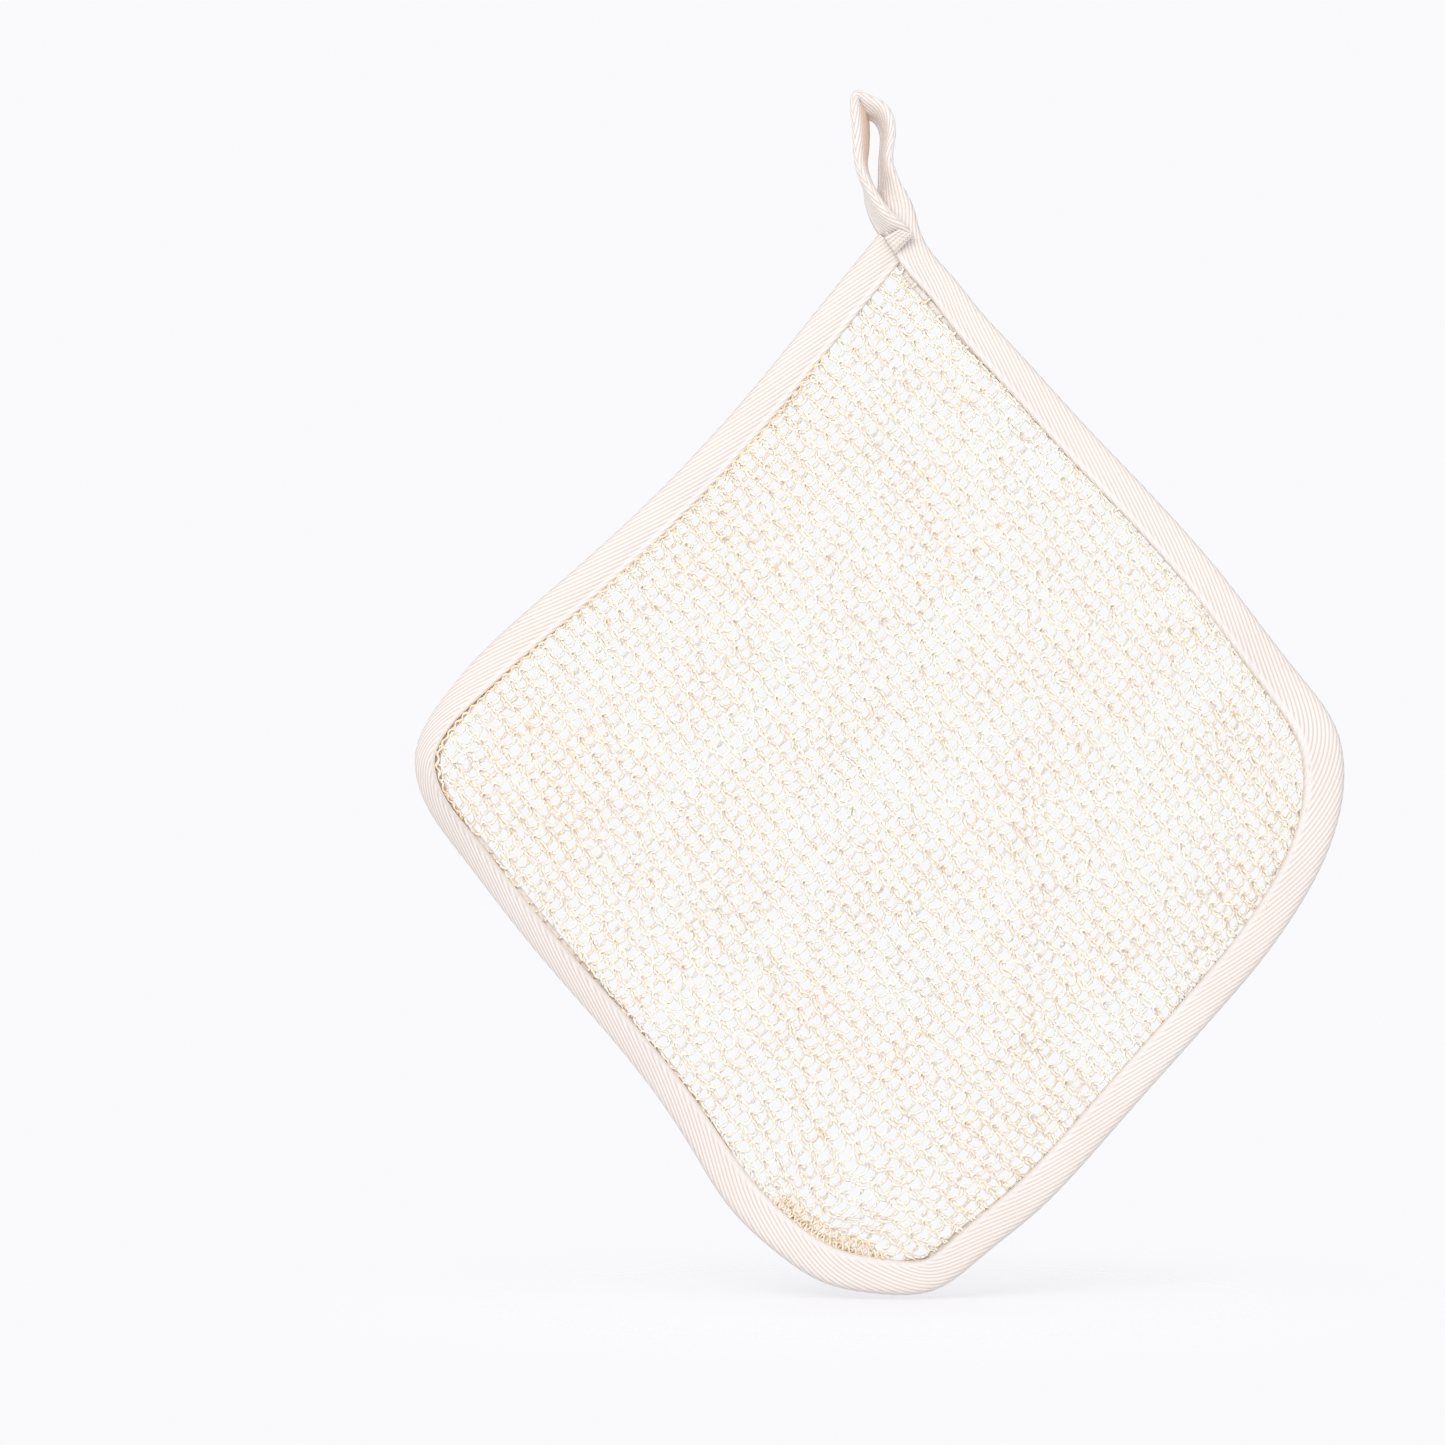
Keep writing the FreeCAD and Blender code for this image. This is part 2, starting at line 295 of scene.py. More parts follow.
def drape(x, z):
    """How far the cloth hangs behind its middle plane there."""
    y = np.zeros_like(x)
    for (x0, z0), (x1, z1), width, back in FOLDS:
        length = math.hypot(x1 - x0, z1 - z0)
        dx, dz = (x1 - x0) / length, (z1 - z0) / length
        along = ((x - x0) * dx + (z - z0) * dz) / length
        across = (x - x0) * dz - (z - z0) * dx
        y = y + back * np.exp(-(across / width) ** 2) * np.exp(-(2 * along - 1) ** 4)
    return y + RIPPLE * np.sin(x / 9.0 + z / 23.0) * np.sin(z / 14.0 - x / 31.0)


def knit_place(u, v):
    """(x, z) of the knit at u wales from the lower left side and v courses from the upper left side. The
    bows are humps that rise to 1: 4 s (1 - s) in the middle, and 6.75 t t (1 - t) nearer the bottom."""
    s, t = (u / WALES)[:, None], (v / COURSES)[:, None]
    flat = ((1 - s) * (1 - t) * KNIT_LEFT + s * (1 - t) * KNIT_TOP
            + (1 - s) * t * KNIT_BOTTOM + s * t * KNIT_RIGHT)
    sides = [(KNIT_LEFT, KNIT_TOP, BOW_UPPER_LEFT * 4 * s * (1 - s) * (1 - t)),
             (KNIT_TOP, KNIT_RIGHT, BOW_UPPER_RIGHT * 4 * t * (1 - t) * s),
             (KNIT_RIGHT, KNIT_BOTTOM, BOW_LOWER_RIGHT * 4 * s * (1 - s) * t),
             (KNIT_BOTTOM, KNIT_LEFT, BOW_LOWER_LEFT * 6.75 * t * t * (1 - t) * (1 - s))]
    for start, end, bow in sides:
        run = unit(end - start)
        flat = flat + bow * np.array([-run[1], run[0]])
    for centre, reach, shift in BUNCHES:
        near = np.exp(-((flat - np.array(centre)) ** 2).sum(axis=1) / reach ** 2)
        flat = flat + near[:, None] * np.array(shift)
    return flat


def inside(points, outline):
    """Which of the (x, z) points lie inside the closed outline."""
    found = np.zeros(len(points), bool)
    for (x0, z0), (x1, z1) in zip(outline, np.roll(outline, -1, axis=0)):
        if z0 == z1:
            continue
        between = (points[:, 1] >= min(z0, z1)) & (points[:, 1] < max(z0, z1))
        crossing = x0 + (points[:, 1] - z0) * (x1 - x0) / (z1 - z0)
        found ^= between & (points[:, 0] < crossing)
    return found


# ---------------------------------------------------------------- meshes

def new_piece(name, points, faces, uv_layers, material, ends=()):
    """A smooth-shaded mesh object from points in mm. uv_layers gives a (faces, 4, 2) array for each layer.
    ends are triangles that close the ends of tubes, and have no place in the layers."""
    ends = np.array(ends, int).reshape(-1, 3)
    corners = np.concatenate([faces.ravel(), ends.ravel()])
    starts = np.concatenate([np.arange(len(faces)) * 4, faces.size + np.arange(len(ends)) * 3])
    mesh = bpy.data.meshes.new(name)
    mesh.vertices.add(len(points))
    mesh.vertices.foreach_set("co", (points * MM).astype(np.float32).ravel())
    mesh.loops.add(len(corners))
    mesh.loops.foreach_set("vertex_index", corners.astype(np.int32))
    mesh.polygons.add(len(starts))
    mesh.polygons.foreach_set("loop_start", starts.astype(np.int32))
    mesh.polygons.foreach_set("use_smooth", np.arange(len(starts)) < len(faces))
    mesh.update(calc_edges=True)
    for layer_name, places in uv_layers.items():
        layer = mesh.uv_layers.new(name=layer_name)
        blank = np.zeros(ends.size * 2, np.float32)
        layer.data.foreach_set("uv", np.concatenate([places.astype(np.float32).ravel(), blank]))
    mesh.validate()
    mesh.materials.append(material)
    piece = bpy.data.objects.new(name, mesh)
    bpy.context.scene.collection.objects.link(piece)
    return piece


def grid_faces(rows, ring, start):
    """Quads between neighbouring rings of a tube, ring points each, the first numbered start."""
    i, k = np.meshgrid(np.arange(rows - 1), np.arange(ring), indexing="ij")
    after = (k + 1) % ring
    corners = [i * ring + k, (i + 1) * ring + k, (i + 1) * ring + after, i * ring + after]
    return np.stack(corners, axis=-1).reshape(-1, 4) + start


def grid_corners(rows, ring, along, around):
    """(faces, 4, 2) layout coordinates that match grid_faces: along for each ring, around from 0 to 1."""
    i, k = np.meshgrid(np.arange(rows - 1), np.arange(ring), indexing="ij")
    u = np.stack([along[i], along[i + 1], along[i + 1], along[i]], axis=-1)
    v = np.stack([around[k], around[k], around[k + 1], around[k + 1]], axis=-1)
    return np.stack([u, v], axis=-1).reshape(-1, 4, 2)


def tube_rings(path, radius, sides, twist=0.0, bulge=0.0):
    """Points of a tube about the path, (rings, sides, 3). bulge gives it two plies, which turn twist times
    a mm."""
    tangent = unit(np.gradient(path, axis=0))
    side = unit(np.cross(tangent, Y))
    up = np.cross(side, tangent)
    corner = np.arange(sides) * (2 * math.pi / sides)
    angle = (corner + arc_length(path)[:, None] * twist * 2 * math.pi)[..., None]
    circle = side[:, None] * np.cos(angle) + up[:, None] * np.sin(angle)
    reach = radius[:, None] * (1 + bulge * np.cos(2 * corner))
    return path[:, None] + circle * reach[..., None]


class Tubes:
    """Collects tubes of one yarn or thread into one mesh. Each has a strip of the layout for its bake."""

    ROW_SHARE = 0.03           # sets how many strips lie end to end in the layout
    FILL_ALONG, FILL_AROUND = 0.98, 0.9     # of the strip's place

    def __init__(self, sides, twist=0.0, bulge=0.0):
        self.sides, self.twist, self.bulge = sides, twist, bulge
        self.points = []
        self.faces = []
        self.ends = []
        self.yarn = []
        self.count = 0

    def add(self, path, radius):
        rings = tube_rings(path, radius, self.sides, self.twist, self.bulge)
        for i in (0, -1):
            rings[i] = path[i] + (rings[i] - path[i]) * TUBE_END
        around = np.linspace(0, 1, self.sides + 1)
        last = self.count + (len(path) - 1) * self.sides
        for k in range(1, self.sides - 1):
            self.ends.append([self.count, self.count + k, self.count + k + 1])
            self.ends.append([last, last + k + 1, last + k])
        self.points.append(rings.reshape(-1, 3))
        self.faces.append(grid_faces(len(path), self.sides, self.count))
        self.yarn.append(grid_corners(len(path), self.sides, arc_length(path), around))
        self.count += len(path) * self.sides

    def piece(self, name, material):
        longest = max(strip[..., 0].max() for strip in self.yarn)
        per_row = max(1, int(math.sqrt(len(self.yarn) * self.ROW_SHARE)))
        rows = math.ceil(len(self.yarn) / per_row)
        layout = []
        for i, strip in enumerate(self.yarn):
            row, column = divmod(i, per_row)
            u = (column + self.FILL_ALONG * strip[..., 0] / longest) / per_row
            v = (row + self.FILL_AROUND * strip[..., 1]) / rows
            layout.append(np.stack([u, v], axis=-1))
        layers = {"Yarn": np.concatenate(self.yarn), "OFBake": np.concatenate(layout)}
        points, faces = np.concatenate(self.points), np.concatenate(self.faces)
        return new_piece(name, points, faces, layers, material, self.ends)


# ---------------------------------------------------------------- materials

def material_nodes(name, roughness, sheen):
    """A new material, its node tree, and its Principled shader."""
    material = bpy.data.materials.new(name)
    material.use_nodes = True
    tree = material.node_tree
    shader = next(n for n in tree.nodes if n.type == "BSDF_PRINCIPLED")
    shader.inputs["Roughness"].default_value = roughness
    shader.inputs["Sheen Weight"].default_value = sheen
    shader.inputs["Sheen Roughness"].default_value = 0.5
    shader.inputs["Specular IOR Level"].default_value = 0.25
    return material, tree, shader


def add_node(tree, kind, inputs=None, **settings):
    node = tree.nodes.new(kind)
    for key, value in settings.items():
        setattr(node, key, value)
    for key, value in (inputs or {}).items():
        if isinstance(value, bpy.types.NodeSocket):
            tree.links.new(value, node.inputs[key])
        else:
            node.inputs[key].default_value = value
    return node


def maths(tree, operation, *values):
    return add_node(tree, "ShaderNodeMath", dict(enumerate(values)), operation=operation).outputs[0]


def noise(tree, vector, scale, detail=2.0):
    values = {"Vector": vector, "Scale": scale, "Detail": detail}
    return add_node(tree, "ShaderNodeTexNoise", values).outputs[0]


def mix_colour(tree, factor, first, second):
    node = tree.nodes.new("ShaderNodeMix")
    node.data_type = "RGBA"
    for key, kind, value in (("Factor", "VALUE", factor), ("A", "RGBA", first), ("B", "RGBA", second)):
        socket = next(s for s in node.inputs if s.name == key and s.type == kind)
        if isinstance(value, bpy.types.NodeSocket):
            tree.links.new(value, socket)
        else:
            socket.default_value = value
    return next(s for s in node.outputs if s.type == "RGBA")


def ramp(tree, value, low, high):
    """0 below low, 1 above high."""
    inputs = {"Value": value, "From Min": low, "From Max": high}
    return add_node(tree, "ShaderNodeMapRange", inputs, interpolation_type="SMOOTHSTEP").outputs[0]


def bump(tree, shader, height, strength, distance):
    node = add_node(tree, "ShaderNodeBump", {"Height": height, "Strength": strength, "Distance": distance})
    tree.links.new(node.outputs[0], shader.inputs["Normal"])


def split_uv(tree, layer):
    uv = add_node(tree, "ShaderNodeUVMap", uv_map=layer).outputs[0]
    parts = add_node(tree, "ShaderNodeSeparateXYZ", {0: uv})
    return parts.outputs[0], parts.outputs[1]


def vector(tree, x, y, z=0.0):
    return add_node(tree, "ShaderNodeCombineXYZ", {0: x, 1: y, 2: z}).outputs[0]


def sisal_material(name, age):
    """Two-ply yarn of raw leaf fibre: ivory streaked with straw, painted shade in straw between the plies,
    and ochre in places. Long patches along the courses are paler, and broad ones are straw. age runs to 1,
    ochre."""
    material, tree, shader = material_nodes(name, 0.8, 0.0)
    shader.inputs["Subsurface Weight"].default_value = 0.25
    shader.inputs["Subsurface Radius"].default_value = (1.0, 0.6, 0.35)
    shader.inputs["Subsurface Scale"].default_value = 0.0008
    along, around = split_uv(tree, "Yarn")
    place = add_node(tree, "ShaderNodeTexCoord").outputs["Object"]
    turned = add_node(tree, "ShaderNodeVectorRotate", {"Vector": place, "Angle": COURSE_ANGLE},
                      rotation_type="Y_AXIS").outputs[0]
    stretched = add_node(tree, "ShaderNodeVectorMath", {0: turned, 1: (0.2, 0.2, 1.0)},
                         operation="MULTIPLY").outputs[0]
    patches = noise(tree, stretched, 75.0, 3.0)
    yarn_to_yarn = noise(tree, place, 190.0, 2.0)
    streak_place = vector(tree, maths(tree, "MULTIPLY", along, 0.45), maths(tree, "MULTIPLY", around, 9.0))
    fibres = noise(tree, streak_place, 3.0, 4.0)
    plies = maths(tree, "COSINE", maths(tree, "MULTIPLY", around, 4 * math.pi))
    broad = noise(tree, place, 13.0, 2.0)
    ivory, straw, ochre = [[value - age * loss for value, loss in zip(*colour)] + [1]
                           for colour in (IVORY, STRAW, OCHRE)]
    colour = mix_colour(tree, ramp(tree, fibres, 0.45, 0.66), ivory, straw)
    # The first layer is painted shade: straw in the grooves between the plies.
    layers = [(plies, 0.0, -1.0, 0.55, straw), (yarn_to_yarn, 0.60, 0.78, 0.75, ochre),
              (patches, 0.42, 0.60, 0.7, ivory), (broad, 0.47, 0.62, 0.45, straw)]
    for value, low, high, most, towards in layers:
        share = maths(tree, "MULTIPLY", ramp(tree, value, low, high), most)
        colour = mix_colour(tree, share, colour, towards)
    tree.links.new(colour, shader.inputs["Base Color"])
    bump(tree, shader, fibres, 0.2, 0.0001)
    return material


def tape_material(name, inner_shade_span=None):
    """Undyed cotton twill. The ribs are in the mesh; their colour, yarns and slubs are here, with painted
    shade in the rib grooves and along the selvage. The stretch given after the name, from and to, gets a warm
    painted shade on its front half, for the shade on the loop's inner face."""
    material, tree, shader = material_nodes(name, 0.85, 0.2)
    along, across = split_uv(tree, "Tape")
    place = add_node(tree, "ShaderNodeTexCoord").outputs["Object"]
    out = maths(tree, "ABSOLUTE", across)
    rise = maths(tree, "MULTIPLY", along, math.sin(RIB_ANGLE) / RIB_PITCH)
    phase = maths(tree, "ADD", rise, maths(tree, "MULTIPLY", out, math.cos(RIB_ANGLE) / RIB_PITCH))
    ribs = maths(tree, "COSINE", maths(tree, "MULTIPLY", phase, 2 * math.pi))
    weft = maths(tree, "SINE", maths(tree, "MULTIPLY", along, 2 * math.pi / 0.55))
    slub_place = vector(tree, maths(tree, "MULTIPLY", along, 0.35), maths(tree, "MULTIPLY", across, 2.2))
    slubs = noise(tree, slub_place, 1.2, 3.0)
    broad = noise(tree, place, 22.0, 2.0)
    groove = ramp(tree, ribs, 0.1, -0.9)
    ribbed = ramp(tree, out, TAPE_HALF - LIP, TAPE_HALF - LIP - 1.0)
    groove_shade = maths(tree, "MULTIPLY", groove, ribbed)
    colour = mix_colour(tree, ramp(tree, slubs, 0.50, 0.80), COTTON, COTTON_SLUB)
    colour = mix_colour(tree, ramp(tree, broad, 0.45, 0.70), colour, COTTON_PINK)
    # painted shade in the grooves between the ribs, short of the lip
    colour = mix_colour(tree, maths(tree, "MULTIPLY", groove_shade, 0.75), colour, COTTON_GROOVE_SHADE)
    # painted shade along the selvage
    colour = mix_colour(tree, ramp(tree, out, TAPE_HALF - 0.8, TAPE_HALF - 0.1), colour, COTTON_SELVAGE_SHADE)
    # painted shade: warm tan on the front half of the given stretch, for the loop's shaded inner face
    if inner_shade_span:
        length = maths(tree, "MULTIPLY", ramp(tree, along, inner_shade_span[0] - 2, inner_shade_span[0] + 2),
                       ramp(tree, along, inner_shade_span[1] + 6, inner_shade_span[1] - 2))
        inner_shade = maths(tree, "MULTIPLY", length, maths(tree, "MULTIPLY", ramp(tree, across, 1.8, 4.5), 0.75))
        colour = mix_colour(tree, inner_shade, colour, COTTON_INNER_SHADE)
    tree.links.new(colour, shader.inputs["Base Color"])
    height = maths(tree, "ADD", maths(tree, "MULTIPLY", weft, 0.25), maths(tree, "ADD", ribs, slubs))
    bump(tree, shader, height, 0.5, 0.00012)
    return material


def thread_material():
    """Spun cotton sewing thread, with painted shade in the grooves of its twist."""
    material, tree, shader = material_nodes("sewing_thread", 0.75, 0.2)
    along, around = split_uv(tree, "Yarn")
    turned = maths(tree, "ADD", around, maths(tree, "MULTIPLY", along, 1.1))
    plies = maths(tree, "SINE", maths(tree, "MULTIPLY", turned, 4 * math.pi))
    # painted shade where the grooves between the plies fall
    colour = mix_colour(tree, ramp(tree, plies, -1.0, 0.2), THREAD_GROOVE_SHADE, THREAD_PALE)
    tree.links.new(colour, shader.inputs["Base Color"])
    bump(tree, shader, plies, 0.5, 0.0001)
    return material


# ---------------------------------------------------------------- tape

def section_places():
    """Distances across the unfolded tape from its fold, - on the back half, fine enough for its ribs."""
    step = RIB_PITCH / math.cos(RIB_ANGLE) / 4
    count = LINING_STEP * math.ceil(TAPE_HALF / step / LINING_STEP)
    half = np.arange(1, count + 1) * (TAPE_HALF / count)
    return np.concatenate([-half[::-1], [0], half])


class Tape:
    """The tape as it lies: where its ridge runs, how it is rolled and how far its halves stand open."""

    def __init__(self):
        rows, self.binding_count = tape_stations()
        x, z, lift, roll, opening, self.wider, self.sewn = rows.T
        ridge = np.stack([x, np.zeros(len(x)), z], axis=1)
        inward = np.cross(unit(np.gradient(ridge, axis=0)), Y)
        inward = unit(np.stack([smooth(c, HANG_SMOOTHING) for c in inward.T], axis=1))
        turn = np.radians(roll)
        selvage = ridge + inward * (TAPE_HALF * np.cos(turn) * self.sewn)[:, None]
        hang = smooth(drape(selvage[:, 0], selvage[:, 2]), HANG_SMOOTHING) - np.sin(turn) * CURL_REACH / 2
        wave = WAVE_HEIGHT * np.sin(x / WAVE_X + z / WAVE_Z)
        ridge[:, 1] = lift + self.sewn * (hang - TAPE_HALF * np.sin(turn) * ROLL_DEPTH + wave)
        self.selvage, self.inward, self.turn = selvage, inward, turn
        self.ridge = ridge
        self.along = arc_length(ridge)
        turn = turn[:, None]
        self.width_axis = np.cos(turn) * inward + np.sin(turn) * Y
        self.front_axis = -np.cos(turn) * Y + np.sin(turn) * inward
        self.opening = np.radians(opening)
        self.closed = (1 - self.sewn) * step_up(z, *CLOSED_ABOVE)

    def surface(self, across, outward):
        """Points (stations, places, 3) on the mid-surface, moved outward by as much as outward says."""
        reach = np.abs(across)[None, :]
        side = np.sign(across)[None, :]
        stretch = 1 + side * (self.wider / TAPE_HALF)[:, None] * (reach / TAPE_HALF)
        reach = reach * stretch
        from_edge = TAPE_HALF * stretch - reach
        sewn = self.sewn[:, None]
        body = np.tanh(reach / (BULK_REACH - SEWN_SHORTER * sewn)) * (HALF_BULK + SEWN_BULK * sewn)
        seam = SEAM_SINK * np.exp(-((from_edge - SEAM_FROM_EDGE) / SEAM_WIDTH) ** 2)
        swell = SWELL * np.exp(-((reach - SWELL_AT) / SWELL_WIDTH) ** 2)
        flat = body - sewn * (seam - swell)
        depth = np.sqrt(reach ** 2 + RIDGE_RADIUS ** 2) - RIDGE_RADIUS
        half_open = self.opening[:, None]
        w = depth * np.cos(half_open)
        closing = self.closed[:, None] * step_up(reach, *CLOSED_OUT)
        f = side * ((flat + reach * np.sin(half_open)) * (1 - closing) + CLOSED_HALF * closing)
        middle = (self.ridge[:, None] + w[..., None] * self.width_axis[:, None]
                  + f[..., None] * self.front_axis[:, None])
        along = np.gradient(middle, axis=0)
        over = np.gradient(middle, axis=1)
        normal = unit(np.cross(over, along))
        return middle + normal * outward[..., None]

    def curl(self, x, z):
        """How far the knit bends back where it runs into a rolled part of the binding."""
        stations = slice(0, self.binding_count, CURL_STEP)
        line = self.selvage[stations][:, [0, 2]]
        inward = self.inward[stations][:, [0, 2]]
        place = np.stack([x, z], axis=1)
        nearest = np.concatenate([np.argmin(((part[:, None] - line) ** 2).sum(axis=2), axis=1)
                                  for part in np.array_split(place, len(place) // 2000 + 1)])
        gap = ((place - line[nearest]) * inward[nearest]).sum(axis=1)
        easing = np.maximum(CURL_REACH - gap, 0) ** 2 / (2 * CURL_REACH)
        bent = np.where(gap > 0, easing, CURL_REACH / 2 - gap)
        return -np.sin(self.turn[stations][nearest]) * bent

    def ribs(self, across):
        phase = self.along[:, None] * math.sin(RIB_ANGLE) + np.abs(across)[None, :] * math.cos(RIB_ANGLE)
        return RIB_HEIGHT * np.cos(phase * (2 * math.pi / RIB_PITCH))

    def piece(self, name, material, first, last, rows):
        """The mesh of the tape from one station to another, its bake laid out in that many rows."""
        places = section_places()
        lining = places[::-LINING_STEP]
        fade = np.clip(TAPE_HALF - LIP + 0.6 - np.abs(places), RIB_FADE, 1)
        thick = np.full((len(self.ridge), len(places)), TAPE_THICK / 2)
        outer = self.surface(places, thick + self.ribs(places) * fade)
        inner = self.surface(lining, thick[:, :len(lining)])     # in reverse order, which turns its normals
        rings = with_end_rings(np.concatenate([outer, inner], axis=1)[first:last])
        count, ring = rings.shape[:2]
        across = np.concatenate([places, lining, places[:1]])
        tape = grid_corners(count, ring, with_end_rings(self.along[first:last]), across)
        layout = grid_corners(count, ring, np.arange(count, dtype=float), np.linspace(0, 1, ring + 1))
        per_row = math.ceil(count / rows)
        row = np.floor(layout[:, :1, 0] / per_row)
        u = (layout[..., 0] - row * per_row) / per_row * 0.99
        v = (row + layout[..., 1] * 0.97) / rows
        ends = end_cap(np.arange(ring), len(places))
        ends = np.concatenate([ends[:, ::-1], end_cap((count - 1) * ring + np.arange(ring), len(places))])
        layers = {"Tape": tape[:, ::-1], "OFBake": np.stack([u, v], axis=-1)[:, ::-1]}
        faces = grid_faces(count, ring, 0)[:, ::-1]
        return new_piece(name, rings.reshape(-1, 3), faces, layers, material, ends[:, ::-1])


def with_end_rings(rows):
    """The rows with one more very near each end, so that smooth shading leaves the end caps out."""
    near_first = rows[:1] + (rows[1:2] - rows[:1]) * END_RING
    near_last = rows[-1:] + (rows[-2:-1] - rows[-1:]) * END_RING
    return np.concatenate([rows[:1], near_first, rows[1:-1], near_last, rows[-1:]])


def end_cap(ring, outer):
    """Triangles that close an end of the tape, between its outer points and its lining's."""
    faces = []
    for k in range(len(ring) - outer - 1):
        corner = ring[outer + k]
        first = outer - 1 - LINING_STEP * k
        for i in range(first, first - LINING_STEP, -1):
            faces.append([corner, ring[i], ring[i - 1]])
        faces.append([corner, ring[first - LINING_STEP], ring[outer + k + 1]])
    return np.array(faces)


def seam_line(tape, side, first, last):
    """Where a seam's thread lies on the tape, from one station to another: side is 1 on the front half and
    -1 on the back. The places beside it only give the surface its slope."""
    across = np.array([-0.4, 0.0, 0.4]) + side * (TAPE_HALF - SEAM_FROM_EDGE)
    lift = np.full((len(tape.ridge), 3), TAPE_THICK / 2 + THREAD_PROUD)
    return tape.surface(across, lift)[first:last, 1]


def sew(tubes, line):
    """Stitches along the line, thinner where they dive into the cloth at their ends."""
    at = arc_length(line)
    for i in range(int(at[-1] / STITCH_PITCH)):
        s = np.linspace(i * STITCH_PITCH, i * STITCH_PITCH + STITCH_LENGTH, STITCH_POINTS) + FIRST_STITCH
        path = np.stack([np.interp(s, at, c) for c in line.T], axis=1)
        tubes.add(path, THREAD_RADIUS * (1 - 0.3 * np.abs(np.linspace(-1, 1, STITCH_POINTS)) ** 3))


# ---------------------------------------------------------------- knit

def course_path(j, fields):
    """The yarn of course j, from the first wale to the last: its place in wales and in courses, and its depth
    to the front."""
    count = WALES * STITCH_SAMPLES + 1
    tau = np.linspace(0, WALES, count)
    angle = 2 * math.pi * tau
    row = np.full(count, float(j))
    spread = LOOP_SPREAD * (1 + UNEVEN["spread"] * fields["spread"](tau, row))
    omega = LOOP_OMEGA * (1 + UNEVEN["omega"] * fields["omega"](tau, row))
    u = tau + spread * np.sin(angle) + omega * np.sin(2 * angle)
    v = j + 0.5 + LOOP_HEIGHT * np.cos(angle)
    face = 1.0 if j % 2 else -1.0
    turn = 0.5 + 0.5 * np.tanh(FACE_TURN * np.cos(angle))
    facing = face * (1 - 2 * turn)
    depth = -LOOP_DEPTH * np.cos(2 * angle) * facing
    u = u + FACE_LEAN * face * np.cos(angle)
    u = u + UNEVEN["u"] * fields["u"](u, v)
    v = v + UNEVEN["v"] * fields["v"](u, v)
    depth = depth + UNEVEN["depth"] * fields["depth"](u, v)
    return u, v, depth


def make_fields():
    """Random unevenness of the hand knit, each a function of wale and course."""
    return {name: seeded_field(int(random.integers(1 << 30)), scale)
            for name, scale in FIELD_SCALES.items()}


def seeded_field(seed, scale):
    """A function of two places that varies smoothly about 0, by about 1, from one scale to the next."""
    grid = np.random.default_rng(seed).normal(0, 1, (FIELD_SIZE, FIELD_SIZE))

    def field(u, v):
        a = (u / scale + FIELD_MARGIN) % (FIELD_SIZE - 1)
        b = (v / scale + FIELD_MARGIN) % (FIELD_SIZE - 1)
        i, j = a.astype(int), b.astype(int)
        s, t = a - i, b - j
        s, t = s * s * (3 - 2 * s), t * t * (3 - 2 * t)
        low = grid[i, j] * (1 - s) + grid[i + 1, j] * s
        high = grid[i, j + 1] * (1 - s) + grid[i + 1, j + 1] * s
        return low * (1 - t) + high * t

    return field


def knit_bands(tape, outline, material):
    """The knit in bands of courses, each one mesh of yarns, and the yarns' paths. It is cut at the outline,
    where the tape covers it."""
    fields = make_fields()
    radius_field = seeded_field(RADIUS_SEED, RADIUS_SCALE)
    stretch_u, stretch_v = RADIUS_STRETCH
    pieces = []
    paths = []
    edges = np.linspace(0, COURSES, BANDS + 1).round().astype(int)
    for band in range(BANDS):
        tubes = Tubes(YARN_SIDES, 1 / TWIST_PITCH, PLY_BULGE)
        for j in range(edges[band], edges[band + 1]):
            u, v, depth = course_path(j, fields)
            flat = knit_place(u, v)
            kept = inside(flat, outline)
            y = drape(flat[:, 0], flat[:, 1]) + tape.curl(flat[:, 0], flat[:, 1]) - depth
            path = np.stack([flat[:, 0], y, flat[:, 1]], axis=1)
            thicker = np.clip(radius_field(u * stretch_u, v * stretch_v), -2, 2)
            radius = YARN_RADIUS * (1 + UNEVEN["radius"] * thicker)
            for first, last in runs_of(kept):
                if last - first > STITCH_SAMPLES // 2:
                    tubes.add(path[first:last], radius[first:last])
                    paths.append(path[first:last])
        pieces.append(tubes.piece(f"sisal_knit_band_{band + 1}", material))
    return pieces, paths


def stray_fibres(paths, name, material):
    """Single fibres that wind about the yarns and stand off at their ends."""
    tubes = Tubes(FIBRE_SIDES)
    lengths = np.array([len(path) for path in paths], float)
    chosen = random.choice(len(paths), FIBRES, p=lengths / lengths.sum())
    for i in chosen:
        count = int(random.integers(*FIBRE_SAMPLES))
        if len(paths[i]) <= count:
            continue
        first = int(random.integers(len(paths[i]) - count))
        core = paths[i][first:first + count:2]
        tangent = unit(np.gradient(core, axis=0))
        side = unit(np.cross(tangent, Y))
        up = np.cross(side, tangent)
        angle = random.uniform(0, 2 * math.pi) + arc_length(core) * random.uniform(*FIBRE_WINDING)
        t = np.linspace(-1, 1, len(core))
        stand_off = YARN_RADIUS + FIBRE_CLEAR + random.uniform(*FIBRE_STAND_OFF) * np.abs(t) ** 4
        path = core + (side * np.cos(angle)[:, None] + up * np.sin(angle)[:, None]) * stand_off[:, None]
        tubes.add(path, random.uniform(*FIBRE_RADIUS) * (1 - 0.6 * t ** 4))
    return tubes.piece(name, material)


def tab_surface(s, t):
    """Points on the front of the tab, s and t from 0 to 1 across it."""
    corners = np.array([(x, y, z) for x, z, y in TAB])
    weights = [(1 - s) * (1 - t), s * (1 - t), s * t, (1 - s) * t]
    flat = sum(w[..., None] * c for w, c in zip(weights, corners))
    from_edge = np.minimum(np.minimum(s, 1 - s), np.minimum(t, 1 - t))
    full = np.clip(from_edge / TAB_EDGE, 0, 1)
    ribs = TAB_RIB_HEIGHT * np.cos(2 * math.pi * TAB_RIBS * (0.8 * s - 0.25 * t))
    rise = TAB_THICK * (TAB_EDGE_THICK + (1 - TAB_EDGE_THICK) * np.sqrt(full)) + ribs * full
    return flat - rise[..., None] * Y


